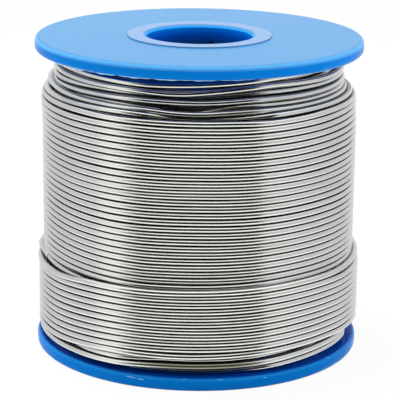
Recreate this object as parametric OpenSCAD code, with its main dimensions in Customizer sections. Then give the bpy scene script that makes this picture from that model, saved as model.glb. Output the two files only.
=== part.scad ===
// Solder wire spool: a moulded reel, wound full of flux-cored solder wire.
//
// The origin is on the axis of the bore, at the underside of the bottom flange, and +Z runs up the bore.
// The reel is three mouldings: a barrel with a neck at each end, and a flange seated on each neck.
// The wire is one length. Its hidden layers are a plain core, and the two layers that show are wound round it:
// the main layer, and over its lower third the last layer, which ends in the free end of the wire.

/* [Reel] */
// Height over the two flanges
reel_h = 52.2; // [40:0.1:80]
// Diameter of each flange
flange_d = 54; // [48:0.5:80]
// Thickness of each flange
flange_t = 2.2; // [1.6:0.1:4]
// Radius on the edges of each flange's rim
flange_edge_r = 0.7; // [0.2:0.05:0.75]
// Diameter of the drum, which the wire is wound on
drum_d = 26; // [25:0.5:34]
// Width of the shoulder at each end of the drum, on which a flange seats
shoulder_w = 1.1; // [0.5:0.1:1.4]
// Diameter of the bore, for a spindle
bore_d = 17.5; // [10:0.5:19]
// Chamfer at each mouth of the bore
bore_chamfer = 0.5; // [0.2:0.1:1]
// How far the upper neck stands above the top flange
neck_proud = 0.2; // [0:0.05:1]
// Radial gap between a neck and the hole in its flange
neck_gap = 0.03; // [0.02:0.01:0.1]

/* [Wire] */
// Diameter of the solder wire
wire_d = 1; // [0.7:0.05:1.3]
// Diameter of the flux inside the wire
flux_d = 0.38; // [0.2:0.02:0.5]
// Length of the free end, as an angle round the reel in degrees
free_end_angle = 40; // [10:1:45]
// Direction from the axis, in degrees from +X, in which the last layer ends and the free end begins
free_end_direction = 195; // [0:1:359]
// Diameter of the hole through the barrel that holds the start of the wire
anchor_d = 1.5; // [1.4:0.1:2.5]
// Direction of that hole from the axis, in degrees from +X
anchor_direction = 77; // [0:1:359]
// Distance from that hole up to the top flange
anchor_margin = 0.5; // [0.2:0.1:10]
// How far the start of the wire stops short of the bore
anchor_recess = 0.3; // [0.1:0.1:2]

/* [Winding] */
// How far the main layer lies inside the edge of the flanges
fill_depth = 0.8; // [0.6:0.1:5]
// Loops between the flanges. A loop is as wide as about two turns of the real winding
loops = 23; // [14:1:24]
// Loops from the bottom flange up to the free end, which are the last layer
last_loops = 6.5; // [4:0.05:8]
// Loops at the bottom flange that dip below the main layer
foot_loops = 0.6; // [0.2:0.1:1]
// Loops at the top flange that have loosened and dipped below the main layer
loose_loops = 3; // [1:0.5:4]
// Layers by which the loosened loops dip
loose_layers = 2; // [1:1:3]
// Part of a loop in which the wire passes from one layer to the next
step_loops = 0.25; // [0.15:0.05:0.4]
// Gap between neighbouring loops
loop_gap = 0.45; // [0.42:0.01:0.7]
// Gap between the winding and the inner face of each flange
flange_gap = 0.2; // [0.1:0.05:0.5]
// Gap between a wound layer and the core below it
lay_gap = 0.03; // [0.02:0.01:0.1]

/* [Hidden] */

$fn = 128;
BLUE = [0.02, 0.42, 0.80];
PALE_BLUE = [0.22, 0.56, 0.86];
TIN = [0.76, 0.77, 0.75];
DARK_TIN = [0.50, 0.51, 0.50];
AMBER = [0.80, 0.52, 0.16];

// Angle from the tip of the free end to where the main layer starts to show
PAST_FREE_END = 8;
// How far a cutter runs past the face that it cuts
OVERCUT = 1;
// Rings along each loop, and corners of the wire's section there
RINGS = 24;
SIDES = 6;

edge_r = min(flange_edge_r, flange_t / 2 - 0.05);
neck_d = drum_d - 2 * shoulder_w;
space_h = reel_h - 2 * flange_t;
anchor_z = reel_h - flange_t - anchor_margin - anchor_d / 2;

// Wires of one layer lie in the grooves of the layer below
layer_step = wire_d * sqrt(3) / 2;

// The loops fill the space between the flanges: loops + 1 widths of wire, with a gap between each two
loop_pitch = (space_h - 2 * flange_gap + loop_gap) / (loops + 1);
loop_w = loop_pitch - loop_gap;

// A ring's corners reach past the true circle and the chords between them fall inside it, by equal amounts
chord_ratio = cos(180 / RINGS);
corner_ratio = 2 / (1 + chord_ratio);
main_r = flange_d / 2 - fill_depth;
main_centre_r = main_r * corner_ratio - wire_d / 2;

// Places along the winding are counted in loops from the bottom flange
function loop_z(t) = flange_t + flange_gap + loop_w / 2 + loop_pitch * t;
function loop_direction(t) = free_end_direction + 360 * (t - last_loops);
function loop_centre_r(layer) = main_centre_r + layer_step * layer;
// Radius of the core where a layer lies on it
function core_r(layer) = (loop_centre_r(layer) - wire_d / 2) * chord_ratio - lay_gap;
// A smooth step from 0 to 1 that starts at t = a
function step_from(a, t) = let (s = min(1, max(0, (t - a) / step_loops))) s * s * (3 - 2 * s);

// The layer in which each wound stretch lies: 0 is the main layer, 1 the last layer over it
sink_start = last_loops - step_loops;
function last_layer_at(t) = -1 + 2 * step_from(foot_loops, t) - step_from(sink_start, t);
function main_layer_at(t) = -loose_layers * step_from(loops - loose_loops, t);

// The main layer shows from just past the free end up to the top flange
main_start = last_loops + (free_end_angle + PAST_FREE_END) / 360;

// Heights at which the core steps in or out
foot_top_z = loop_z(foot_loops + step_loops) + loop_w / 2;
last_top_z = loop_z(sink_start) - loop_w / 2 - lay_gap;
loose_bottom_z = loop_z(loops - loose_loops) - loop_w / 2 - lay_gap;

function radial(a) = [cos(a), sin(a), 0];
function tangent(a) = [-sin(a), cos(a), 0];

// The corners of the wire's section round a centre in direction a, flattened to the width of a loop
function section_corners(centre, a) = [
    for (k = [0 : SIDES - 1])
        centre
            + radial(a) * wire_d / 2 * sin(k * 360 / SIDES) / sin(60)
            + [0, 0, loop_w / 2 * cos(k * 360 / SIDES)]
];

// The ring at place t in a layer, moved along the wire by run_on
function ring_at(t, layer, run_on = 0) =
    let (a = loop_direction(t))
    section_corners(radial(a) * loop_centre_r(layer) + tangent(a) * run_on + [0, 0, loop_z(t)], a);

// The places of the rings from t0 to t1. Only the last step differs from the others
function places(t0, t1) =
    let (n = ceil((t1 - t0) * RINGS - 0.2)) [for (i = [0 : n - 1]) t0 + i / RINGS, t1];

// All rings of a wound stretch. Each of its ends runs on straight for one wire diameter
function wound_rings(t0, t1, layer_at) = [
    ring_at(t0, layer_at(t0), -wire_d),
    for (t = places(t0, t1)) ring_at(t, layer_at(t)),
    ring_at(t1, layer_at(t1), wire_d)
];

last_layer_rings = wound_rings(0, last_loops, function(t) last_layer_at(t));
main_layer_rings = wound_rings(main_start, loops, function(t) main_layer_at(t));

// Least distance from a corner of any ring to the corners of the rings one loop further on
function least_gap(rings) =
    min([
        for (i = [1 : len(rings) - RINGS - 2], j = [i + RINGS - 1 : i + RINGS + 1])
            min([for (p = rings[i], q = rings[j]) norm(p - q)])
    ]);

// One unbroken tube through the rings, in triangles
module wound_tube(rings) {
    last = len(rings) - 1;
    sides = [
        for (i = [0 : last - 1], k = [0 : SIDES - 1])
            let (
                a = i * SIDES + k,
                b = i * SIDES + (k + 1) % SIDES,
                c = b + SIDES,
                d = a + SIDES
            )
                each [[a, c, b], [a, d, c]]
    ];
    start_cap = [for (k = [1 : SIDES - 2]) [0, k, k + 1]];
    end_cap = [for (k = [1 : SIDES - 2]) let (e = last * SIDES) [e, e + k + 1, e + k]];
    polyhedron(points = [for (r = rings) each r], faces = concat(sides, start_cap, end_cap));
}

// A flange's half section, with a true round on each edge of the rim
module flange_section() {
    hole_r = neck_d / 2 + neck_gap;
    rim_r = flange_d / 2;
    translate([hole_r, 0]) square([rim_r - edge_r - hole_r, flange_t]);
    translate([hole_r, edge_r]) square([rim_r - hole_r, flange_t - 2 * edge_r]);
    for (z = [edge_r, flange_t - edge_r]) translate([rim_r - edge_r, z]) circle(r = edge_r, $fn = 32);
}

module flange() {
    rotate_extrude() flange_section();
}

// Lies along the hole for the start of the wire, which runs outwards from the axis
module along_anchor() {
    rotate([0, 0, anchor_direction]) translate([0, 0, anchor_z]) rotate([0, 90, 0]) children();
}

// The arc in which the free end lies, swept by what is drawn round the wire's centre
module free_end_sweep() {
    translate(tangent(free_end_direction) * wire_d + [0, 0, loop_z(last_loops)])
        rotate([0, 0, free_end_direction])
            rotate_extrude(angle = free_end_angle) translate([loop_centre_r(0), 0]) children();
}

module barrel() {
    top_z = reel_h + neck_proud;
    color(PALE_BLUE) difference() {
        union() {
            cylinder(d = neck_d, h = top_z);
            translate([0, 0, flange_t]) cylinder(d = drum_d, h = space_h);
        }
        translate([0, 0, -OVERCUT]) cylinder(d = bore_d, h = top_z + 2 * OVERCUT);
        cylinder(d1 = bore_d + 2 * bore_chamfer, d2 = bore_d, h = bore_chamfer);
        translate([0, 0, top_z - bore_chamfer])
            cylinder(d1 = bore_d, d2 = bore_d + 2 * bore_chamfer, h = bore_chamfer);
        along_anchor() cylinder(d = anchor_d, h = drum_d / 2 + OVERCUT);
    }
}

module bottom_flange() {
    color(BLUE) flange();
}

module top_flange() {
    color(BLUE) translate([0, 0, reel_h - flange_t]) flange();
}

// The hidden layers, with a step wherever the layer that shows passes to another depth
module wire_inner_layers() {
    bottom_z = flange_t + lay_gap;
    top_z = reel_h - flange_t - lay_gap;
    color(DARK_TIN) rotate_extrude() polygon([
        [drum_d / 2, bottom_z],
        [core_r(-1), bottom_z],
        [core_r(-1), foot_top_z],
        [core_r(1), foot_top_z],
        [core_r(1), last_top_z],
        [core_r(0), last_top_z],
        [core_r(0), loose_bottom_z],
        [core_r(-loose_layers), loose_bottom_z],
        [core_r(-loose_layers), top_z],
        [drum_d / 2, top_z]
    ]);
}

module wire_main_layer() {
    color(TIN) wound_tube(main_layer_rings);
}

module wire_last_layer() {
    color(TIN) wound_tube(last_layer_rings);
}

module wire_free_end() {
    color(TIN) free_end_sweep() difference() {
        circle(d = wire_d, $fn = 32);
        circle(d = flux_d, $fn = 32);
    }
}

// The start of the wire, held in the barrel's hole and out of the way of a spindle
module wire_start() {
    inner_x = bore_d / 2 + anchor_recess;
    outer_x = sqrt(pow(drum_d / 2, 2) - pow(wire_d / 2, 2));
    color(TIN) along_anchor() translate([0, 0, inner_x]) cylinder(d = wire_d, h = outer_x - inner_x, $fn = 32);
}

module flux_core() {
    color(AMBER) free_end_sweep() circle(d = flux_d, $fn = 32);
}

union() {
    echo(loop_pitch = loop_pitch, loop_width = loop_w, core_steps = [foot_top_z, last_top_z, loose_bottom_z]);
    echo(least_gap_of_main_layer = least_gap(main_layer_rings), of_last_layer = least_gap(last_layer_rings));
}

barrel();
bottom_flange();
top_flange();
wire_inner_layers();
wire_main_layer();
wire_last_layer();
wire_free_end();
wire_start();
flux_core();
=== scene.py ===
"""Looks for the solder wire spool: the winding turn by turn, the moulded blue reel, the light and the camera.

Bearings are degrees from the front of the spool (-Y), positive to the right (+X). Places in the winding and
on the reel are in millimetres.
"""

import math

import bpy
import numpy as np
from mathutils import Matrix, Vector


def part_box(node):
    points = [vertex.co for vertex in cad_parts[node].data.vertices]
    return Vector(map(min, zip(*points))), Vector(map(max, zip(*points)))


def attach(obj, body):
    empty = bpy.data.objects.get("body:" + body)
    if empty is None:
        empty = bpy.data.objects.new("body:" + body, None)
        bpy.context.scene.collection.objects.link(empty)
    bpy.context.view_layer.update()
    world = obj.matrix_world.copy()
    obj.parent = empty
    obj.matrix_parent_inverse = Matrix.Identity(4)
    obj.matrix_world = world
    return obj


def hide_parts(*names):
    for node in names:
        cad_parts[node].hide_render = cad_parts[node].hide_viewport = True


MM = 0.001

# Winding
WIRE_D = 1.0
FLUX_D = 0.38
# Most degrees from one ring of a tube to the next, and the sides of each ring
RING_STEP = 3.0
WIRE_SIDES = 12
# Height of one regular turn in the main layer and in the last layer
TURN_PITCH = 1.047
LAST_PITCH = 1.036
# Height of a layer's plain helix at the front, at turn 0 in the main layer and at LAST_TURN in the last
TOP_TURN_Z = 41.95
LAST_TURN_Z = 5.8
# Radius of the wire's centre in each layer
MAIN_R = 25.5
LAST_R = 26.4
# Numbers of the first turn at the bottom flange, the first of the last layer, and the free end
FOOT_TURN = 34
LAST_TURN = 37
END_TURN = 48
# Bearings of the free end: where its piece begins, and its tip
FREE_END_FROM = -75
FREE_END_TO = -37
# Degrees by which the flux runs on past the wire's cut end
FLUX_PROUD = 0.02
# Bearing, in the turn before LAST_TURN, where the main layer's piece ends and the last layer's begins
LAYER_CUT = 130
# Bearings of the regular turns' ends: from turn 0 to FOOT_TURN, and from after LAST_TURN to before END_TURN
MAIN_FROM = -90
MAIN_TO = -130
LAST_FROM = -130
LAST_TO = -110
# Degrees from one key of the regular turns to the next
SAMPLE_STEP = 10.0
# Distances between the centres of neighbouring turns at which they count as touching, and as apart
TOUCH_FULL = 1.1
TOUCH_NONE = 1.28
# Gaps that stand a little wider: (turn above the gap, bearing, spread of bearings, widening)
WIDE_GAPS = ((6, -40, 20, 0.1), (11, -30, 15, 0.05), (0, -55, 20, 0.05), (7, 50, 15, 0.1), (5, 60, 10, 0.05),
             (4, 50, 10, 0.05))
# How sharply such a gap opens, and over how many turns its push fades
GAP_SHARPNESS = 4
GAP_REACH = 2
# How far the wire strays from its route, where the strays in height and radius start, and the waves in them
WAVER = 0.02
HEIGHT_PHASE = 1.7
RADIUS_PHASE = 4.1
WAVER_WAVES = ((0.5, 2.31, 1), (0.3, 5.17, 2), (0.2, 9.43, 0))

# The loosened turns under the top flange, each as (bearing, height, radius of the wire's centre)
LOOSE_TURNS = (
    ((-160, 49.2, 22.6), (-90, 48.95, 23.3), (-60, 48.85, 23.4), (-40, 48.6, 23.4), (-20, 48.4, 23.4),
     (-10, 48.5, 23.4), (0, 48.65, 23.4), (10, 48.85, 23.4), (20, 49.05, 23.4), (30, 49.3, 23.4),
     (45, 49.45, 23.4), (90, 49.4, 23.4)),
    ((-90, 47.5, 23.4), (-70, 47.65, 23.4), (-50, 47.55, 23.4), (-30, 47.4, 23.4), (-20, 47.3, 23.4),
     (-10, 47.15, 23.4), (-5, 47.2, 23.4), (0, 47.35, 23.4), (10, 47.7, 23.4), (20, 48.0, 23.4),
     (30, 48.2, 23.4), (45, 48.0, 23.4), (60, 47.8, 23.4), (90, 47.8, 23.4)),
    ((-75, 46.5, 23.4), (-55, 46.6, 23.0), (-40, 46.7, 22.7), (-20, 46.7, 22.5), (0, 46.65, 22.5),
     (10, 46.75, 22.6), (25, 47.0, 22.8), (40, 47.05, 23.0), (60, 46.9, 23.0), (80, 46.95, 23.2)),
    ((-75, 45.4, 23.5), (-60, 45.6, 23.5), (-40, 45.85, 23.5), (-20, 45.9, 23.5), (0, 45.85, 23.5),
     (10, 45.95, 23.5), (20, 46.1, 23.5), (30, 46.1, 23.5), (45, 46.0, 23.5), (90, 45.95, 23.5),
     (120, 45.8, 22.9), (145, 45.45, 22.7), (165, 45.1, 22.7)),
    ((-80, 44.6, 22.8), (-40, 44.85, 22.8), (-20, 44.6, 22.6), (-5, 44.0, 22.6), (5, 44.35, 22.7),
     (10, 44.8, 22.9), (15, 45.05, 23.1), (20, 45.1, 23.3), (45, 45.0, 23.35), (75, 45.0, 23.4)),
    ((-90, 45.3, 24.4), (-75, 45.2, 24.4), (-60, 44.9, 24.4), (-50, 44.65, 24.2), (-20, 44.55, 24.25),
     (-10, 44.3, 24.3), (0, 44.2, 24.35), (10, 44.35, 24.3), (20, 44.45, 24.25), (60, 44.5, 24.1),
     (85, 44.3, 23.9)),
    ((-90, 43.85, 25.0), (-50, 43.95, 25.0), (-30, 44.05, 24.9), (-20, 43.9, 24.7), (-10, 43.4, 23.8),
     (0, 43.25, 23.6), (10, 43.3, 23.7), (20, 43.45, 24.1), (30, 43.8, 24.9), (60, 43.9, 24.9),
     (90, 43.8, 24.8)),
    ((-90, 43.1, 25.4), (-50, 43.15, 25.4), (-30, 43.0, 25.4), (10, 42.95, 25.4), (25, 42.75, 25.4),
     (40, 42.85, 25.4), (55, 43.0, 25.4), (90, 42.9, 25.4)),
)
# The turns at the bottom flange, where the wire drops off the main layer and climbs on to the last layer
FOOT_TURNS = (
    ((-90, 3.9, 24.9), (-60, 4.0, 25.1), (-50, 4.2, 25.3), (-42, 4.4, 25.85), (-30, 4.5, 25.95),
     (-20, 4.7, 25.7), (-10, 5.0, 25.6), (10, 5.0, 25.6), (20, 5.1, 25.6), (30, 5.0, 25.3), (40, 4.9, 24.8),
     (50, 4.85, 24.4), (90, 4.9, 24.2), (120, 4.8, 24.6), (150, 4.2, 25.0), (180, 3.85, 25.2)),
    ((-150, 3.7, 25.3), (-120, 3.55, 25.7), (-90, 3.45, 26.0), (-70, 3.45, 26.1), (-50, 3.5, 26.2),
     (-40, 3.45, 26.2), (-30, 3.5, 26.2), (-20, 3.75, 26.15), (-10, 3.95, 26.1), (0, 4.0, 26.1),
     (20, 4.05, 26.1), (30, 4.2, 26.1), (40, 4.45, 26.1), (50, 4.6, 26.1), (60, 4.7, 26.1), (70, 4.75, 25.8),
     (90, 4.2, 24.9), (120, 3.85, 25.0), (150, 3.15, 24.9), (180, 2.75, 25.1)),
    ((-60, 2.75, 24.9), (-50, 2.85, 25.1), (-40, 2.95, 25.3), (-20, 2.85, 25.0), (0, 2.75, 24.8),
     (15, 2.8, 24.9), (25, 3.05, 25.6), (30, 3.15, 25.7), (40, 3.35, 25.75), (50, 3.5, 25.75),
     (60, 3.65, 25.8), (70, 3.7, 25.65), (75, 3.7, 25.2), (90, 3.2, 24.6), (120, 2.85, 25.1),
     (150, 3.0, 26.0), (180, 3.4, 26.3)),
    ((-150, 3.75, 26.4), (-120, 4.2, 26.4), (-90, 4.45, 26.2), (-70, 4.5, 26.25), (-60, 4.7, 26.3),
     (-50, 5.0, 26.35), (-40, 5.35, 26.4), (-30, 5.55, 26.4), (0, 5.7, 26.4), (20, 5.85, 26.4),
     (40, 6.05, 26.45), (50, 6.1, 26.5), (60, 5.9, 26.55), (70, 5.7, 26.6), (80, 5.3, 26.6), (90, 5.0, 26.6)),
)
# The top turn of the last layer, and the free end that comes round the left side and is tucked under it
END_TURNS = (
    ((-90, 15.15, 26.25), (-75, 15.0, 26.3), (-60, 15.15, 26.3), (-50, 15.5, 26.35), (-40, 15.85, 26.4),
     (-20, 15.95, 26.4), (0, 16.15, 26.4), (20, 16.25, 26.4), (40, 16.35, 26.45), (60, 16.25, 26.5),
     (75, 16.35, 26.5), (90, 16.6, 26.5)),
    ((-90, 16.35, 26.25), (-85, 16.3, 25.95), (-80, 16.2, 25.6), (-70, 16.0, 25.3), (-60, 15.85, 25.3),
     (-50, 15.65, 25.35), (-35, 15.5, 25.4)),
)
# How far the regular turns lie above a plain helix, as (bearing, lift), high, midway and low in a layer
MAIN_LIFT_TOP = ((-180, 0.15), (-70, -0.1), (-10, -0.05), (0, 0), (20, -0.05), (30, 0), (50, 0.2),
                 (70, 0.4), (180, 0.15))
MAIN_LIFT_MIDDLE = ((-180, 0.1), (-70, 0.15), (-50, -0.15), (-30, -0.35), (-10, -0.1), (0, 0),
                    (20, -0.05), (50, 0.1), (70, -0.05), (180, 0.1))
MAIN_LIFT_LOW = ((-180, 0.2), (-60, 0.1), (-40, -0.15), (-20, -0.25), (-10, -0.1), (0, 0), (20, 0.15),
                 (40, 0.35), (180, 0.2))
LAST_LIFT_LOW = ((-180, -0.9), (-90, -1.1), (-60, -0.9), (-40, -0.45), (-20, -0.1), (0, 0), (20, 0),
                 (40, 0.2), (50, 0.2), (70, -0.2), (90, -0.45), (180, -0.9))
LAST_LIFT_TOP = ((-180, -0.8), (-70, -0.8), (-50, -0.4), (-40, -0.2), (-20, -0.15), (0, 0), (20, 0.05),
                 (40, 0.15), (50, 0.05), (70, -0.4), (90, -0.6), (180, -0.8))
# Turns of the main layer at which each of its lifts holds
LIFT_TURNS = (0, 15, 24)
# How far the main layer is off centre to the right, as (height, distance)
MAIN_SHIFT = ((15, 0.15), (37, 0.15), (43, -0.05))
# How far the last layer is off centre to the right
LAST_SHIFT = 0.25
# How far the main layer is pressed in where the last layer covers it, most of all behind the free end, as
# (turn, distance)
MAIN_SINK = ((24.6, 0), (24.85, -0.5), (25.1, -0.2), (34, -0.2))
# Places along the main layer: (turn, height off the plain helix)
MAIN_DRIFT = ((0, -0.05), (7, -0.05), (12, 0.1), (16, 0), (24.2, -0.05), (24.8, -0.95), (34, 0))


def smooth_through(keys, x):
    """The values at x of a smooth curve through (place, value) keys that doesn't swing past them."""
    place, value = np.array(keys, float).T
    width = np.diff(place)
    slope = np.diff(value) / width
    product = slope[:-1] * slope[1:]
    mean = np.where(product > 0, 2 * product / np.where(product > 0, slope[:-1] + slope[1:], 1), 0)
    tangent = np.concatenate([[0], mean, [0]])
    i = np.clip(np.searchsorted(place, x) - 1, 0, len(width) - 1)
    t = np.clip((x - place[i]) / width[i], 0, 1)
    a = (1 + 2 * t) * (1 - t) ** 2 * value[i] + t * t * (3 - 2 * t) * value[i + 1]
    return a + width[i] * (t * (1 - t) ** 2 * tangent[i] - t * t * (1 - t) * tangent[i + 1])


def bearing_of(angle):
    return angle - 360 * np.floor(angle / 360 + 0.5)


def widened(angle):
    """How far the main layer's turns are pushed up or down by the wider gaps near them."""
    lift = 0 * angle
    for turn, bearing, spread, widening in WIDE_GAPS:
        away = angle / 360 - (turn + 0.5) - bearing / 360
        beside = np.exp(-(((bearing_of(angle) - bearing) / spread) ** 2))
        lift -= np.tanh(GAP_SHARPNESS * away) * np.exp(-(away / GAP_REACH) ** 2) * beside * widening / 2
    return lift


def main_turns(angle):
    """Height and radius of the regular turns of the main layer, which fall as they go to the right."""
    place = angle / 360
    bearing = bearing_of(angle)
    lifts = [smooth_through(keys, bearing) for keys in (MAIN_LIFT_TOP, MAIN_LIFT_MIDDLE, MAIN_LIFT_LOW)]
    lift = np.array([np.interp(p, LIFT_TURNS, column) for p, column in zip(place, np.array(lifts).T)])
    height = TOP_TURN_Z - TURN_PITCH * place + smooth_through(MAIN_DRIFT, place) + lift + widened(angle)
    shift = smooth_through(MAIN_SHIFT, height)
    return height, MAIN_R + smooth_through(MAIN_SINK, place) + shift * np.sin(np.radians(bearing))


def last_turns(angle):
    """Height and radius of the last layer's turns, which rise as they go to the right."""
    place = angle / 360 - LAST_TURN
    bearing = bearing_of(angle)
    share = np.clip(place / (END_TURN - LAST_TURN - 1), 0, 1)
    low, top = [smooth_through(keys, bearing) for keys in (LAST_LIFT_LOW, LAST_LIFT_TOP)]
    lift = (1 - share) * low + share * top
    return LAST_TURN_Z + LAST_PITCH * place + lift, LAST_R + LAST_SHIFT * np.sin(np.radians(bearing))


def placed(turns, first):
    """Keys of turns given one by one, with the bearing counted on from turn to turn."""
    return [(360 * (first + i) + b, z, r) for i, keys in enumerate(turns) for b, z, r in keys]


def sampled(rule, start, end):
    """Keys of regular turns, taken from their rule between two angles."""
    angle = np.arange(start, end, SAMPLE_STEP)
    return list(zip(angle, *rule(angle)))


def whole_route():
    """The whole route as (angle, height, radius), down from the top flange and up in the last layer."""
    return np.array(
        placed(LOOSE_TURNS, -len(LOOSE_TURNS))
        + sampled(main_turns, MAIN_FROM, 360 * FOOT_TURN + MAIN_TO)
        + placed(FOOT_TURNS, FOOT_TURN)
        + sampled(last_turns, 360 * (LAST_TURN + 1) + LAST_FROM, 360 * (END_TURN - 1) + LAST_TO)
        + placed(END_TURNS, END_TURN - 1)
    )


def rippled(level, place, phase, waves):
    """A level with several waves on it, each as (height, rate, how many times the phase shifts it)."""
    return sum((height * np.sin(rate * place + times * phase) for height, rate, times in waves), level)


def waver(angle, phase):
    """A gentle unevenness along the wire, between about -1 and 1."""
    return rippled(0, np.radians(angle), phase, WAVER_WAVES)


def stretch(route, start, end):
    """Centre points, outward directions and angles of the wire between two angles."""
    count = int(math.ceil((end - start) / RING_STEP)) + 1
    angle = np.linspace(start, end, count)
    height = smooth_through(route[:, [0, 1]], angle) + WAVER * waver(angle, HEIGHT_PHASE)
    radius = smooth_through(route[:, [0, 2]], angle) + WAVER * waver(angle, RADIUS_PHASE)
    a = np.radians(angle)
    outward = np.stack([np.sin(a), -np.cos(a), np.zeros(count)], 1)
    return outward * radius[:, None] + np.stack([0 * a, 0 * a, height], 1), outward, angle


def wire_piece(name, route, start, end, diameter, material):
    centres, outward, angle = stretch(route, start, end)
    return give(tube(name, centres, outward, diameter, closeness(route, angle)), material)


def closeness(route, angle):
    """How closely the next turn lies above and below at each angle, from 0 to 1."""
    def place(a):
        return np.stack([smooth_through(route[:, [0, 1]], a), smooth_through(route[:, [0, 2]], a)], 1)

    touch = np.zeros((len(angle), 2))
    for step in (-360, 360):
        inside = (angle + step > route[0, 0]) & (angle + step < route[-1, 0])
        gap = place(angle + step) - place(angle)
        near = np.clip((TOUCH_NONE - np.hypot(*gap.T)) / (TOUCH_NONE - TOUCH_FULL), 0, 1) * inside
        side = np.where(gap[:, 0] > 0, 0, 1)
        touch[np.arange(len(angle)), side] = np.maximum(touch[np.arange(len(angle)), side], near)
    return touch


# Angles of a ring's points, from the inner side of the wire
RING_TURN = np.pi + np.linspace(0, 2 * np.pi, WIRE_SIDES, endpoint=False)
# Steps round the hidden layers
RING_SEGMENTS = 180


def new_mesh(name, points, faces):
    mesh = bpy.data.meshes.new(name)
    mesh.from_pydata(points, [], faces)
    return mesh


def linked(name, mesh):
    thing = bpy.data.objects.new(name, mesh)
    bpy.context.scene.collection.objects.link(thing)
    return thing


def ring_points(centres, outward, diameter):
    """Points of a ring round each centre, and then the centres of the two ends."""
    along = np.gradient(centres, axis=0)
    along /= np.linalg.norm(along, axis=1)[:, None]
    side = np.cross(along, outward)
    side /= np.linalg.norm(side, axis=1)[:, None]
    out = np.cross(side, along)
    turn = RING_TURN[None, :, None]
    grid = centres[:, None] + diameter / 2 * (np.cos(turn) * out[:, None] + np.sin(turn) * side[:, None])
    return (np.concatenate([grid.reshape(-1, 3), centres[[0, -1]]]) * MM).tolist()


def tube_faces(rings):
    """The faces along a tube, and the triangles that close its ends."""
    n = WIRE_SIDES
    i, k = np.meshgrid(np.arange(rings - 1), np.arange(n), indexing="ij")
    k1 = (k + 1) % n
    quads = np.stack([i * n + k, i * n + k1, (i + 1) * n + k1, (i + 1) * n + k], -1).reshape(-1, 4)
    end, last = rings * n, (rings - 1) * n
    caps = [(end, (j + 1) % n, j) for j in range(n)]
    caps += [(end + 1, last + j, last + (j + 1) % n) for j in range(n)]
    return quads.tolist(), caps


def map_along(mesh, centres, diameter, caps):
    """A UV map that runs round a tube from its inner side, and along it, and leaves out its ends."""
    i, k = np.meshgrid(np.arange(len(centres) - 1), np.arange(WIRE_SIDES), indexing="ij")
    length = np.concatenate([[0], np.cumsum(np.linalg.norm(np.diff(centres, axis=0), axis=1))]) / diameter
    corners = ((k, i), (k + 1, i), (k + 1, i + 1), (k, i + 1))
    uv = np.stack([np.stack([a / WIRE_SIDES, length[b]], -1) for a, b in corners], 2).reshape(-1, 2)
    layer = mesh.uv_layers.new(name="along_wire")
    layer.data.foreach_set("uv", np.concatenate([uv, np.zeros((3 * len(caps), 2))]).ravel())


def mark_touch(mesh, touch):
    """Gives each point of a tube how closely the next turn lies on its side."""
    faces_down = np.sin(RING_TURN) > 0
    values = np.where(faces_down[None], touch[:, 1:], touch[:, :1]).ravel()
    attribute = mesh.attributes.new("touch", "FLOAT", "POINT")
    attribute.data.foreach_set("value", np.concatenate([values, [0, 0]]))


def tube(name, centres, outward, diameter, touch):
    """A round tube with closed ends along the centre points.

    Each ring's touch gives how closely the next turn lies above and below, from 0 to 1.
    """
    quads, caps = tube_faces(len(centres))
    mesh = new_mesh(name, ring_points(centres, outward, diameter), quads + caps)
    mesh.polygons.foreach_set("use_smooth", [True] * len(quads) + [False] * len(caps))
    map_along(mesh, centres, diameter, caps)
    mark_touch(mesh, touch)
    mesh.validate()
    return linked(name, mesh)


def revolved(name, outline):
    """A closed ring from an outline of (radius, height) points."""
    r, z = np.array(outline, float).T
    n = len(outline)
    a = np.linspace(0, 2 * np.pi, RING_SEGMENTS, endpoint=False)
    grid = np.stack([np.outer(np.cos(a), r), np.outer(np.sin(a), r), np.tile(z, (RING_SEGMENTS, 1))], -1)
    i, k = np.meshgrid(np.arange(RING_SEGMENTS), np.arange(n), indexing="ij")
    i1, k1 = (i + 1) % RING_SEGMENTS, (k + 1) % n
    quads = np.stack([i * n + k, i1 * n + k, i1 * n + k1, i * n + k1], -1).reshape(-1, 4)
    mesh = new_mesh(name, (grid.reshape(-1, 3) * MM).tolist(), quads.tolist())
    mesh.polygons.foreach_set("use_smooth", [True] * len(quads))
    return linked(name, mesh)


# Radius of the wires' centres in the layer that lies under the turns that show, as (height, radius)
INNER_R = ((2.7, 23.2), (5.4, 23.2), (6.4, 24.2), (14.5, 24.2), (16, 24.5), (41.6, 24.5), (43.2, 21.6),
           (49.5, 21.6))
# Heights of the lowest and highest rib of the hidden layers, how many there are, and the radius of the drum
RIB_LOWEST = 2.73
RIB_HIGHEST = 49.45
RIBS = 46
DRUM_R = 13.0
# Angles of the points on a rib, from its lower side to its upper side
RIB_BEND = (-75, -45, -15, 15, 45, 75)


def inner_layers():
    """The hidden layers, as a solid ring whose outside has a rib for each turn."""
    half = WIRE_D / 2
    outline = [(DRUM_R, RIB_LOWEST - half)]
    for z in np.linspace(RIB_LOWEST, RIB_HIGHEST, RIBS):
        r = np.interp(z, *np.array(INNER_R).T)
        for t in np.radians(RIB_BEND):
            outline.append((r + half * math.cos(t), z + half * math.sin(t)))
    outline.append((DRUM_R, RIB_HIGHEST + half))
    return revolved("wire_inner_turns", outline)


# Small marks of moulding and handling: how thick they are at the root, and how far that is sunk in
LIP_THICK = 0.1
LIP_SUNK = 0.03
# How soon a mark reaches its height from its ends (less is sooner), and its ragged edge's level and waves
LIP_TAPER = 0.4
LIP_LEVEL = 0.5
LIP_WAVES = ((0.3, 31, 1), (0.2, 83, 2))
# The flanges' rounded edges
EDGE_R = 0.7
EDGE_CENTRE_R = 26.3
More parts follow.
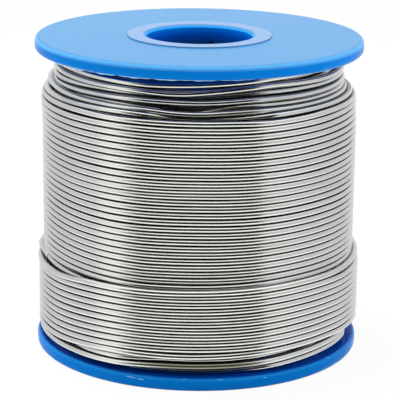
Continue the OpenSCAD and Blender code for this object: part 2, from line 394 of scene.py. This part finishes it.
# Height of the ragged flash under the top flange's rim, as (bearing, height), and where it is on the edge
FLASH_HEIGHT = ((-64, 0.03), (-50, 0.2), (-30, 0.22), (-5, 0.18), (10, 0.1), (25, 0.06), (45, 0.1),
                (62, 0.04))
FLASH_DEGREES = -72
FLASH_STEP = 0.6
FLASH_PHASE = 0.8
# Nicks in the upper edge of the bottom flange: (first bearing, last bearing, degrees up the edge, height)
NICKS = ((-24, -20.5, 15, 0.16), (-20, -17.5, 5, 0.14), (-4.5, -3, 50, 0.06), (7.5, 9.5, 45, 0.12),
         (23.5, 25, 20, 0.1), (52, 54, 65, 0.14), (53.5, 54.5, 40, 0.14), (59.5, 61.5, 60, 0.08))
NICK_POINTS = 6


def lip(root, growth, bearings, height, phase):
    """Points and faces of a ragged lip that grows from a moulded edge. Root and growth are (outward, up)."""
    b = np.radians(bearings)
    ends = np.sin(np.linspace(0, np.pi, len(b))) ** LIP_TAPER
    grown = height * ends * rippled(LIP_LEVEL, b, phase, LIP_WAVES)
    root, growth = np.array(root), np.array(growth)
    across = np.array((-growth[1], growth[0])) * LIP_THICK / 2
    sunk = root - LIP_SUNK * growth
    tip = root + grown[:, None] * growth
    section = np.stack([tip * 0 + sunk - across, tip * 0 + sunk + across, tip], 1)
    r, z = section[..., 0], section[..., 1]
    points = np.stack([r * np.sin(b)[:, None], -r * np.cos(b)[:, None], z], -1).reshape(-1, 3) * MM
    n = len(b)
    faces = [(3 * i + k, 3 * i + (k + 1) % 3, 3 * i + 3 + (k + 1) % 3, 3 * i + 3 + k) for i in range(n - 1)
             for k in range(3)]
    return points.tolist(), faces + [(2, 1, 0), (3 * n - 3, 3 * n - 2, 3 * n - 1)]


def marks(name, lips):
    """One piece of several ragged lips."""
    points, faces = [], []
    for lip_points, lip_faces in lips:
        faces += [tuple(len(points) + i for i in face) for face in lip_faces]
        points += lip_points
    return linked(name, new_mesh(name, points, faces))


def on_edge(centre_z, degrees):
    """The place on a flange's rounded edge at that angle above the horizontal, and the way out of it."""
    out = (math.cos(math.radians(degrees)), math.sin(math.radians(degrees)))
    return (EDGE_CENTRE_R + EDGE_R * out[0], centre_z + EDGE_R * out[1]), out


def rim_flash():
    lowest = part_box("top_flange")[0][2] / MM
    bearings = np.arange(FLASH_HEIGHT[0][0], FLASH_HEIGHT[-1][0], FLASH_STEP)
    height = smooth_through(FLASH_HEIGHT, bearings)
    edge = on_edge(lowest + EDGE_R, FLASH_DEGREES)
    return marks("rim_flash", [lip(*edge, bearings, height, FLASH_PHASE)])


def rim_nicks():
    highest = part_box("bottom_flange")[1][2] / MM
    lips = [lip(*on_edge(highest - EDGE_R, up), np.linspace(first, last, NICK_POINTS), height, first)
            for first, last, up, height in NICKS]
    return marks("rim_nicks", lips)


# --- materials

# Painted shade in the grooves between touching turns: where on a wire's face the groove is dark and where it
# is clear, as the cosine of the angle from the wire's inner side, and how dark it is
GROOVE_DARK = -0.32
GROOVE_CLEAR = -0.58
GROOVE_SHADE = 0.08
# Streaks along the wire, as (how fine round it, how fine along it, detail)
TINT_STREAKS = (9, 0.05, 3.0)
DRAWN_STREAKS = (16, 0.04, 3.0)
UNEVEN_STREAKS = (2.5, 0.03, 1.0)
STREAK_ROUGHNESS = 0.6
# The part of a noise's range that is spread over a value's whole range
NOISE_LOW = 0.3
NOISE_HIGH = 0.7
# The wire's darkest and brightest metal, its glossiest and dullest, and the heights of its marks in metres
TIN = ((0.49, 0.5, 0.505, 1), (0.555, 0.565, 0.57, 1))
WIRE_ROUGHNESS = (0.15, 0.25)
DRAWN_BUMP = 0.000003
UNEVEN_BUMP = 0.00003
# The film of flux, and its small patches: how fine they are, at which noise they begin and are full, and how
# much of the film lies there
FILM_COLOUR = (0.18, 0.17, 0.11, 1)
FILM_ROUGHNESS = 0.35
PATCH_SCALE = (110, 110, 500)
PATCH_FROM = 0.54
PATCH_FULL = 0.75
PATCH_MOST = 0.12
# Smears of flux, as (centre and reach in millimetres, how much of the film lies there)
SMEARS = (((7, -23.5, 44.4), (5, 5, 1.1), 0.3), ((1, -26.3, 4.1), (14, 5, 0.9), 0.85))
# How far in from its edge, as a share of its reach, a smear is full
SMEAR_EDGE = 0.6
# The blue plastic's gleam, its grain as (how fine, detail), and the height of that in metres
PLASTIC_SPECULAR = 0.03
PLASTIC_GRAIN = (400.0, 3.0)
PLASTIC_BUMP = 0.000002
# How far the grain makes the plastic glossier and duller
GRAIN_GLOSS = 0.03
GRAIN_DULL = 0.04
FLANGE_ROUGHNESS = 0.22
BARREL_ROUGHNESS = 0.25
# Colours by height in millimetres. The barrel darkens down the bore, which is painted shade, and pales on the
# ring at the top, which is painted sheen.
BORE_BLUE_AND_PAINTED_LIGHT = ((49.6, (0.0005, 0.06, 0.27)), (50.6, (0.0005, 0.075, 0.5)), (51.4, (0.0005, 0.14, 0.7)),
               (51.9, (0.0005, 0.24, 0.74)), (52.2, (0.05, 0.25, 0.53)), (52.38, (0.15, 0.26, 0.44)))
# The flanges are darker on the faces that hold the winding, which is painted shade, and paler on top
# and along the rounded edge, which is painted sheen and painted highlights.
FLANGE_BLUE_AND_PAINTED_LIGHT = ((1.6, (0.0005, 0.165, 0.56)), (1.95, (0.005, 0.2, 0.6)), (2.1, (0.02, 0.24, 0.66)),
                 (2.19, (0.0005, 0.055, 0.38)), (50.01, (0.0005, 0.07, 0.44)),
                 (50.15, (0.0005, 0.17, 0.58)), (51.45, (0.0005, 0.18, 0.6)), (51.65, (0.06, 0.3, 0.68)),
                 (52.1, (0.09, 0.34, 0.66)), (52.18, (0.055, 0.21, 0.42)))
# The flux and the whitened plastic: the two colours of each, and its grain as (how fine, detail)
AMBER = ((0.48, 0.19, 0.02, 1), (0.62, 0.3, 0.05, 1))
AMBER_GRAIN = (6000.0, 2.0)
WHITENED = ((0.2, 0.52, 0.86, 1), (0.55, 0.8, 0.95, 1))
WHITENED_GRAIN = (1500.0, 2.0)
# Sockets of a mix node, for colours and for numbers: its two ends, and its result
COLOUR_SOCKETS = (6, 7, 2)
NUMBER_SOCKETS = (2, 3, 0)


def new_material(name, **values):
    material = bpy.data.materials.new(name)
    material.use_nodes = True
    shader = material.node_tree.nodes["Principled BSDF"]
    for socket, value in values.items():
        shader.inputs[socket.replace("_", " ")].default_value = value
    return material, shader


def add(material, kind, **values):
    """A node of that kind, with its inputs and settings by name."""
    node = material.node_tree.nodes.new(kind)
    for name, value in values.items():
        key = name.replace("_", " ")
        if key in node.inputs:
            node.inputs[key].default_value = value
        else:
            setattr(node, name, value)
    return node


def link(material, a, b):
    material.node_tree.links.new(a, b)


def streaks(material, around, along, detail):
    """Noise drawn out along the wire."""
    place = add(material, "ShaderNodeUVMap", uv_map="along_wire")
    scale = add(material, "ShaderNodeMapping")
    scale.inputs["Scale"].default_value = (around, along, 1)
    noise = add(material, "ShaderNodeTexNoise", Scale=1.0, Detail=detail, Roughness=STREAK_ROUGHNESS)
    link(material, place.outputs["UV"], scale.inputs["Vector"])
    link(material, scale.outputs["Vector"], noise.inputs["Vector"])
    return noise.outputs["Fac"]


def grain(material, fineness, detail):
    """Noise all through the piece."""
    place = add(material, "ShaderNodeTexCoord")
    noise = add(material, "ShaderNodeTexNoise", Scale=fineness, Detail=detail)
    link(material, place.outputs["Object"], noise.inputs["Vector"])
    return noise.outputs["Fac"]


def ramped(material, value, low, high):
    """Spreads a noise value from low to high."""
    node = add(material, "ShaderNodeMapRange")
    node.inputs["From Min"].default_value = NOISE_LOW
    node.inputs["From Max"].default_value = NOISE_HIGH
    node.inputs["To Min"].default_value = low
    node.inputs["To Max"].default_value = high
    link(material, value, node.inputs["Value"])
    return node.outputs["Result"]


def bumped(material, value, distance, under=None):
    """The normal of a surface that a value from 0 to 1 raises by up to that distance, over another normal."""
    bump = add(material, "ShaderNodeBump", Distance=distance)
    link(material, value, bump.inputs["Height"])
    if under is not None:
        link(material, under, bump.inputs["Normal"])
    return bump.outputs["Normal"]


def painted_groove_shade(material):
    """1 on the wire's outer face, falling near 0 towards neighbouring turns: painted shade in the grooves."""
    place = add(material, "ShaderNodeUVMap", uv_map="along_wire")
    split = add(material, "ShaderNodeSeparateXYZ")
    turn = add(material, "ShaderNodeMath", operation="MULTIPLY")
    turn.inputs[1].default_value = 2 * math.pi
    facing = add(material, "ShaderNodeMath", operation="COSINE")
    shade = add(material, "ShaderNodeMapRange", interpolation_type="SMOOTHSTEP")
    shade.inputs["From Min"].default_value = GROOVE_DARK
    shade.inputs["From Max"].default_value = GROOVE_CLEAR
    shade.inputs["To Min"].default_value = GROOVE_SHADE
    touch = add(material, "ShaderNodeAttribute", attribute_name="touch")
    clear = add(material, "ShaderNodeMath", operation="SUBTRACT")
    clear.inputs[0].default_value = 1.0
    link(material, place.outputs["UV"], split.inputs[0])
    link(material, split.outputs["X"], turn.inputs[0])
    link(material, turn.outputs[0], facing.inputs[0])
    link(material, facing.outputs[0], shade.inputs["Value"])
    link(material, touch.outputs["Fac"], clear.inputs[1])
    return most_of(material, clear.outputs[0], shade.outputs["Result"])


def most_of(material, first, second):
    """The greater of two values."""
    either = add(material, "ShaderNodeMath", operation="MAXIMUM")
    link(material, first, either.inputs[0])
    link(material, second, either.inputs[1])
    return either.outputs[0]


def smear(material, place, centre, reach, strength):
    """How much of the film lies in one long round smear."""
    ball_place = add(material, "ShaderNodeMapping", vector_type="TEXTURE")
    ball_place.inputs["Location"].default_value = [c * MM for c in centre]
    ball_place.inputs["Scale"].default_value = [c * MM for c in reach]
    ball = add(material, "ShaderNodeTexGradient", gradient_type="SPHERICAL")
    core = add(material, "ShaderNodeMapRange", interpolation_type="SMOOTHSTEP")
    core.inputs["From Max"].default_value = SMEAR_EDGE
    core.inputs["To Max"].default_value = strength
    link(material, place, ball_place.inputs["Vector"])
    link(material, ball_place.outputs["Vector"], ball.inputs["Vector"])
    link(material, ball.outputs["Fac"], core.inputs["Value"])
    return core.outputs["Result"]


def film_patches(material):
    """0 on clean wire, rising to 1 where a thin film of flux dulls it, in smears and small patches."""
    place = add(material, "ShaderNodeTexCoord")
    flat = add(material, "ShaderNodeMapping")
    flat.inputs["Scale"].default_value = PATCH_SCALE
    noise = add(material, "ShaderNodeTexNoise", Scale=1.0, Detail=2.0)
    patch = add(material, "ShaderNodeMapRange", interpolation_type="SMOOTHSTEP")
    patch.inputs["From Min"].default_value = PATCH_FROM
    patch.inputs["From Max"].default_value = PATCH_FULL
    patch.inputs["To Max"].default_value = PATCH_MOST
    link(material, place.outputs["Object"], flat.inputs["Vector"])
    link(material, flat.outputs["Vector"], noise.inputs["Vector"])
    link(material, noise.outputs["Fac"], patch.inputs["Value"])
    film = patch.outputs["Result"]
    for centre, reach, strength in SMEARS:
        film = most_of(material, film, smear(material, place.outputs["Object"], centre, reach, strength))
    return film


def mixed(material, share, low, high, colours=False):
    """Goes from low to high with a share from 0 to 1. Each end may be a value or a socket."""
    node = add(material, "ShaderNodeMix", data_type="RGBA" if colours else "FLOAT")
    first, second, out = COLOUR_SOCKETS if colours else NUMBER_SOCKETS
    link(material, share, node.inputs[0])
    for socket, value in ((node.inputs[first], low), (node.inputs[second], high)):
        if isinstance(value, bpy.types.NodeSocket):
            link(material, value, socket)
        else:
            socket.default_value = value
    return node.outputs[out]


def solder_material():
    """Bright drawn metal with faint streaks, painted shade between the turns and a film of flux in places."""
    material, shader = new_material("solder_wire_metal", Metallic=1.0)
    value = streaks(material, *TINT_STREAKS)
    film = film_patches(material)
    tint = mixed(material, value, *TIN, True)
    # Painted shade in the grooves between turns, multiplied into the metal's colour
    darken = add(material, "ShaderNodeMix", data_type="RGBA", blend_type="MULTIPLY")
    darken.inputs[0].default_value = 1.0
    first, second, out = COLOUR_SOCKETS
    link(material, mixed(material, film, tint, FILM_COLOUR, True), darken.inputs[first])
    link(material, painted_groove_shade(material), darken.inputs[second])
    link(material, darken.outputs[out], shader.inputs["Base Color"])
    gloss = ramped(material, value, *WIRE_ROUGHNESS)
    link(material, mixed(material, film, gloss, FILM_ROUGHNESS), shader.inputs["Roughness"])
    drawn = bumped(material, streaks(material, *DRAWN_STREAKS), DRAWN_BUMP)
    uneven = bumped(material, streaks(material, *UNEVEN_STREAKS), UNEVEN_BUMP, drawn)
    link(material, uneven, shader.inputs["Normal"])
    return material


def plastic_material(name, roughness):
    """Moulded plastic with a fine grain in its gloss. Its colour comes from colour_and_painted_light_by_height."""
    material, shader = new_material(name, Roughness=roughness, Specular_IOR_Level=PLASTIC_SPECULAR)
    value = grain(material, *PLASTIC_GRAIN)
    gloss = ramped(material, value, roughness - GRAIN_GLOSS, roughness + GRAIN_DULL)
    link(material, gloss, shader.inputs["Roughness"])
    link(material, bumped(material, value, PLASTIC_BUMP), shader.inputs["Normal"])
    return material, shader


def colour_and_painted_light_by_height(material, shader, shades):
    """Colours the surface by height through (height in millimetres, colour) stops, painted light among them.
    """
    place = add(material, "ShaderNodeTexCoord")
    split = add(material, "ShaderNodeSeparateXYZ")
    share = add(material, "ShaderNodeMapRange")
    ramp = add(material, "ShaderNodeValToRGB")
    low, high = shades[0][0], shades[-1][0]
    share.inputs["From Min"].default_value = low * MM
    share.inputs["From Max"].default_value = high * MM
    stops = ramp.color_ramp.elements
    for i, (z, colour) in enumerate(shades):
        at = (z - low) / (high - low)
        stop = stops[i] if i < 2 else stops.new(at)
        stop.position = at
        stop.color = (*colour, 1)
    link(material, place.outputs["Object"], split.inputs[0])
    link(material, split.outputs["Z"], share.inputs["Value"])
    link(material, share.outputs["Result"], ramp.inputs[0])
    link(material, ramp.outputs[0], shader.inputs["Base Color"])
    return material


def mottled_material(name, colours, noise, **values):
    """A plain material whose colour wanders between two."""
    material, shader = new_material(name, **values)
    colour = mixed(material, grain(material, *noise), *colours, True)
    link(material, colour, shader.inputs["Base Color"])
    return material


def whitened_material():
    """Plastic that is pale where it was torn or squeezed thin."""
    look = {"Roughness": 0.5, "Specular_IOR_Level": 0.2}
    return mottled_material("whitened_plastic", WHITENED, WHITENED_GRAIN, **look)


def resin_material():
    return mottled_material("amber_resin", AMBER, AMBER_GRAIN, Roughness=0.25)


def give(piece, material):
    piece.data.materials.clear()
    piece.data.materials.append(material)
    return piece


def settle(piece, slot, *nodes):
    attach(piece, "root")
    if nodes:
        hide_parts(*nodes)


# --- stage, light and camera

# How strongly the white room lights things, where 1 is how it looks
ROOM_LIGHT = 0.6
# Half the floor's side, and the share of its look that is plain white
FLOOR_REACH = 3.0
FLOOR_WHITE = 0.94
# The lit panels and the dark card stand round this height
MIDDLE_Z = 0.026
CARD_COLOUR = (0.012, 0.012, 0.009, 1)
PANEL_COLOUR = (1, 1, 0.92, 1)
# The wall that the card and the strips are cut from: its radius, the elevations of its edges, and the points
# along an edge of each
WALL_R = 0.42
WALL_LOW = -30
WALL_HIGH = 37
WALL_POINTS = 33
# Bearings of the card's sides, and of the strips to its left
CARD_LEFT = -46
CARD_RIGHT = 46
SOFT_LEFT = -54
BRIGHT_LEFT = -74
SOFT_STRENGTH = 0.6
BRIGHT_STRENGTH = 1.5
# The round panels: how far above and below the middle, their sides and strength, and their radii
PANEL_GAP = 0.30
PANEL_SIDES = 48
PANEL_STRENGTH = 1.9
TOP_PANEL_R = 0.36
LOW_PANEL_R = 0.50
# Lamps, as (name, place, size, power)
LAMPS = (
    ("top_light", (-0.06, 0.045, 0.42), 0.12, 1.75),
    ("left_light", (-0.38, -0.22, 0.20), 0.25, 0.8),
    ("right_light", (0.40, -0.15, 0.20), 0.25, 1.1),
)
# The photograph's view
CAMERA_DISTANCE = 0.3196
CAMERA_PITCH = math.radians(15.26)
CAMERA_ROLL = math.radians(0.68)
CAMERA_AIM = (0.0004, 0, 0.0241)
CAMERA_LENS = 171.1


def seen_directly(material):
    """1 for camera, glossy and transmission rays, and 0 for the rays that carry light on to other things."""
    path = add(material, "ShaderNodeLightPath")
    seen = most_of(material, path.outputs["Is Camera Ray"], path.outputs["Is Glossy Ray"])
    return most_of(material, seen, path.outputs["Is Transmission Ray"])


def shines(material, socket):
    """Makes the socket the material's surface."""
    link(material, socket, material.node_tree.nodes["Material Output"].inputs["Surface"])


def build_world():
    world = bpy.data.worlds.new("white_room")
    bpy.context.scene.world = world
    world.use_nodes = True
    strength = add(world, "ShaderNodeMapRange")
    strength.inputs["To Min"].default_value = ROOM_LIGHT
    strength.inputs["To Max"].default_value = 1.0
    link(world, seen_directly(world), strength.inputs["Value"])
    background = world.node_tree.nodes["Background"]
    link(world, strength.outputs["Result"], background.inputs["Strength"])
    background.inputs["Color"].default_value = (1, 1, 1, 1)


def build_floor():
    s = FLOOR_REACH
    floor = stage_mesh("floor", [(-s, -s, 0), (s, -s, 0), (s, s, 0), (-s, s, 0)], [(0, 1, 2, 3)])
    material, shader = new_material("white_floor", Roughness=1.0, Specular_IOR_Level=0.0)
    glow = add(material, "ShaderNodeEmission", Strength=1.0)
    seen = seen_directly(material)
    share = add(material, "ShaderNodeMath", operation="MULTIPLY")
    share.inputs[1].default_value = FLOOR_WHITE
    mix = add(material, "ShaderNodeMixShader")
    link(material, seen, share.inputs[0])
    link(material, share.outputs[0], mix.inputs[0])
    link(material, shader.outputs[0], mix.inputs[1])
    link(material, glow.outputs[0], mix.inputs[2])
    shines(material, mix.outputs[0])
    give(floor, material)
    floor.visible_glossy = False


def only_in_reflections(piece):
    piece.visible_camera = False
    piece.visible_diffuse = False
    piece.visible_shadow = False
    piece.visible_transmission = False


def curved_wall(first, last):
    """Points and faces of an upright wall round the spool, from one bearing to another."""
    bearings = np.radians(np.linspace(first, last, WALL_POINTS))
    heights = [MIDDLE_Z + WALL_R * math.tan(math.radians(e)) for e in (WALL_LOW, WALL_HIGH)]
    points = [(WALL_R * math.sin(b), -WALL_R * math.cos(b), z) for z in heights for b in bearings]
    n = len(bearings)
    return points, [(i, i + 1, n + i + 1, n + i) for i in range(n - 1)]


def build_dark_card():
    """A dark card behind the camera, which the object mirrors, and which takes room light off its front."""
    points, faces = curved_wall(CARD_LEFT, CARD_RIGHT)
    card = stage_mesh("dark_card", points, faces)
    material, shader = new_material("black_card", Roughness=1.0, Specular_IOR_Level=0.0)
    shader.inputs["Base Color"].default_value = CARD_COLOUR
    give(card, material)
    only_in_reflections(card)
    card.visible_diffuse = True


def round_panel(name, z, radius):
    """A lit round panel above or below the spool."""
    around = np.linspace(0, 2 * np.pi, PANEL_SIDES, endpoint=False)
    points = [(radius * math.cos(a), radius * math.sin(a), z) for a in around]
    light_up(stage_mesh(name, points, [tuple(range(len(points)))]), PANEL_STRENGTH)


def upright_strip(name, first, last, strength):
    """A lit upright strip that stands beside the dark card, from one bearing to another."""
    points, faces = curved_wall(first, last)
    light_up(stage_mesh(name, points, faces), strength)


def light_up(panel, strength):
    """Makes the panel shine, seen only by what mirrors it."""
    material = bpy.data.materials.new(panel.name)
    material.use_nodes = True
    glow = add(material, "ShaderNodeEmission", Color=PANEL_COLOUR, Strength=strength)
    shines(material, glow.outputs[0])
    give(panel, material)
    only_in_reflections(panel)


def stage_mesh(name, points, faces):
    thing = linked(name, new_mesh(name, points, faces))
    return thing


def area_light(name, place, size, power):
    """A square lamp that faces the middle of the spool and isn't mirrored in anything."""
    data = bpy.data.lights.new(name, "AREA")
    data.energy = power
    data.size = size
    lamp = bpy.data.objects.new(name, data)
    lamp.location = place
    lamp.visible_glossy = False
    lamp.rotation_euler = (Vector((0, 0, MIDDLE_Z)) - Vector(place)).to_track_quat("-Z", "Y").to_euler()
    bpy.context.scene.collection.objects.link(lamp)


def build_camera():
    """The camera, with the centre of the picture on the aim point."""
    pitch, roll = CAMERA_PITCH, CAMERA_ROLL
    aim = Vector(CAMERA_AIM)
    place = aim + CAMERA_DISTANCE * Vector((0, -math.cos(pitch), math.sin(pitch)))
    forward = (aim - place).normalized()
    right = forward.cross(Vector((0, 0, 1))).normalized()
    up = right.cross(forward)
    x = math.cos(roll) * right + math.sin(roll) * up
    y = -math.sin(roll) * right + math.cos(roll) * up
    data = bpy.data.cameras.new("camera")
    data.sensor_width = 36
    data.lens = CAMERA_LENS
    data.clip_start = 0.01
    camera = bpy.data.objects.new("camera", data)
    camera.matrix_world = Matrix((
        (x.x, y.x, -forward.x, place.x), (x.y, y.y, -forward.y, place.y), (x.z, y.z, -forward.z, place.z),
        (0, 0, 0, 1),
    ))
    bpy.context.scene.collection.objects.link(camera)
    bpy.context.scene.camera = camera


def build_winding(wire_start):
    route = whole_route()
    solder = solder_material()
    main_end = 360 * (LAST_TURN - 1) + LAYER_CUT
    last_end = 360 * END_TURN + FREE_END_FROM
    tip = 360 * END_TURN + FREE_END_TO
    main = wire_piece("main_layer_turns", route, route[0, 0], main_end, WIRE_D, solder)
    settle(main, "solder_wire", "wire_main_layer")
    last = wire_piece("last_layer_turns", route, main_end, last_end, WIRE_D, solder)
    settle(last, "solder_wire", "wire_last_layer")
    free = wire_piece("free_end_of_wire", route, last_end, tip, WIRE_D, solder)
    settle(free, "solder_wire", "wire_free_end")
    core = wire_piece("flux_in_free_end", route, last_end, tip + FLUX_PROUD, FLUX_D, resin_material())
    settle(core, "flux_resin", "flux_core")
    inner = give(inner_layers(), solder)
    settle(inner, "solder_wire", "wire_inner_layers")
    give(wire_start, solder)


def build_reel(top_flange, bottom_flange, barrel):
    flange_plastic = plastic_material("blue_flange_plastic", FLANGE_ROUGHNESS)
    # The flanges' and barrel's blue, with painted shade, sheen and highlights by height
    flanges = colour_and_painted_light_by_height(*flange_plastic, FLANGE_BLUE_AND_PAINTED_LIGHT)
    give(top_flange, flanges)
    give(bottom_flange, flanges)
    barrel_plastic = plastic_material("blue_barrel_plastic", BARREL_ROUGHNESS)
    give(barrel, colour_and_painted_light_by_height(*barrel_plastic, BORE_BLUE_AND_PAINTED_LIGHT))
    whitened = whitened_material()
    for piece in (rim_flash(), rim_nicks()):
        settle(give(piece, whitened), "flange_plastic")


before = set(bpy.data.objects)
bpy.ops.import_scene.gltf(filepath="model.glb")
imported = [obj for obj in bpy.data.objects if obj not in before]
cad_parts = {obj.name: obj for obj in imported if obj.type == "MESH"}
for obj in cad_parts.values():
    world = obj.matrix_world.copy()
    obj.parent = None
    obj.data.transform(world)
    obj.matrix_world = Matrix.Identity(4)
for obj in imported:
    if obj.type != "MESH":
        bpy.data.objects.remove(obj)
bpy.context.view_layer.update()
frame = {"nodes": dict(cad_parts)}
nodes = frame["nodes"]
build_camera()
build_world()
build_floor()
build_dark_card()
round_panel("top_panel", MIDDLE_Z + PANEL_GAP, TOP_PANEL_R)
round_panel("low_panel", MIDDLE_Z - PANEL_GAP, LOW_PANEL_R)
upright_strip("soft_strip", SOFT_LEFT, CARD_LEFT, SOFT_STRENGTH)
upright_strip("left_strip", BRIGHT_LEFT, SOFT_LEFT, BRIGHT_STRENGTH)
for lamp in LAMPS:
    area_light(*lamp)
build_winding(nodes["wire_start"])
build_reel(nodes["top_flange"], nodes["bottom_flange"], nodes["barrel"])
bpy.context.scene.view_settings.view_transform = "Standard"
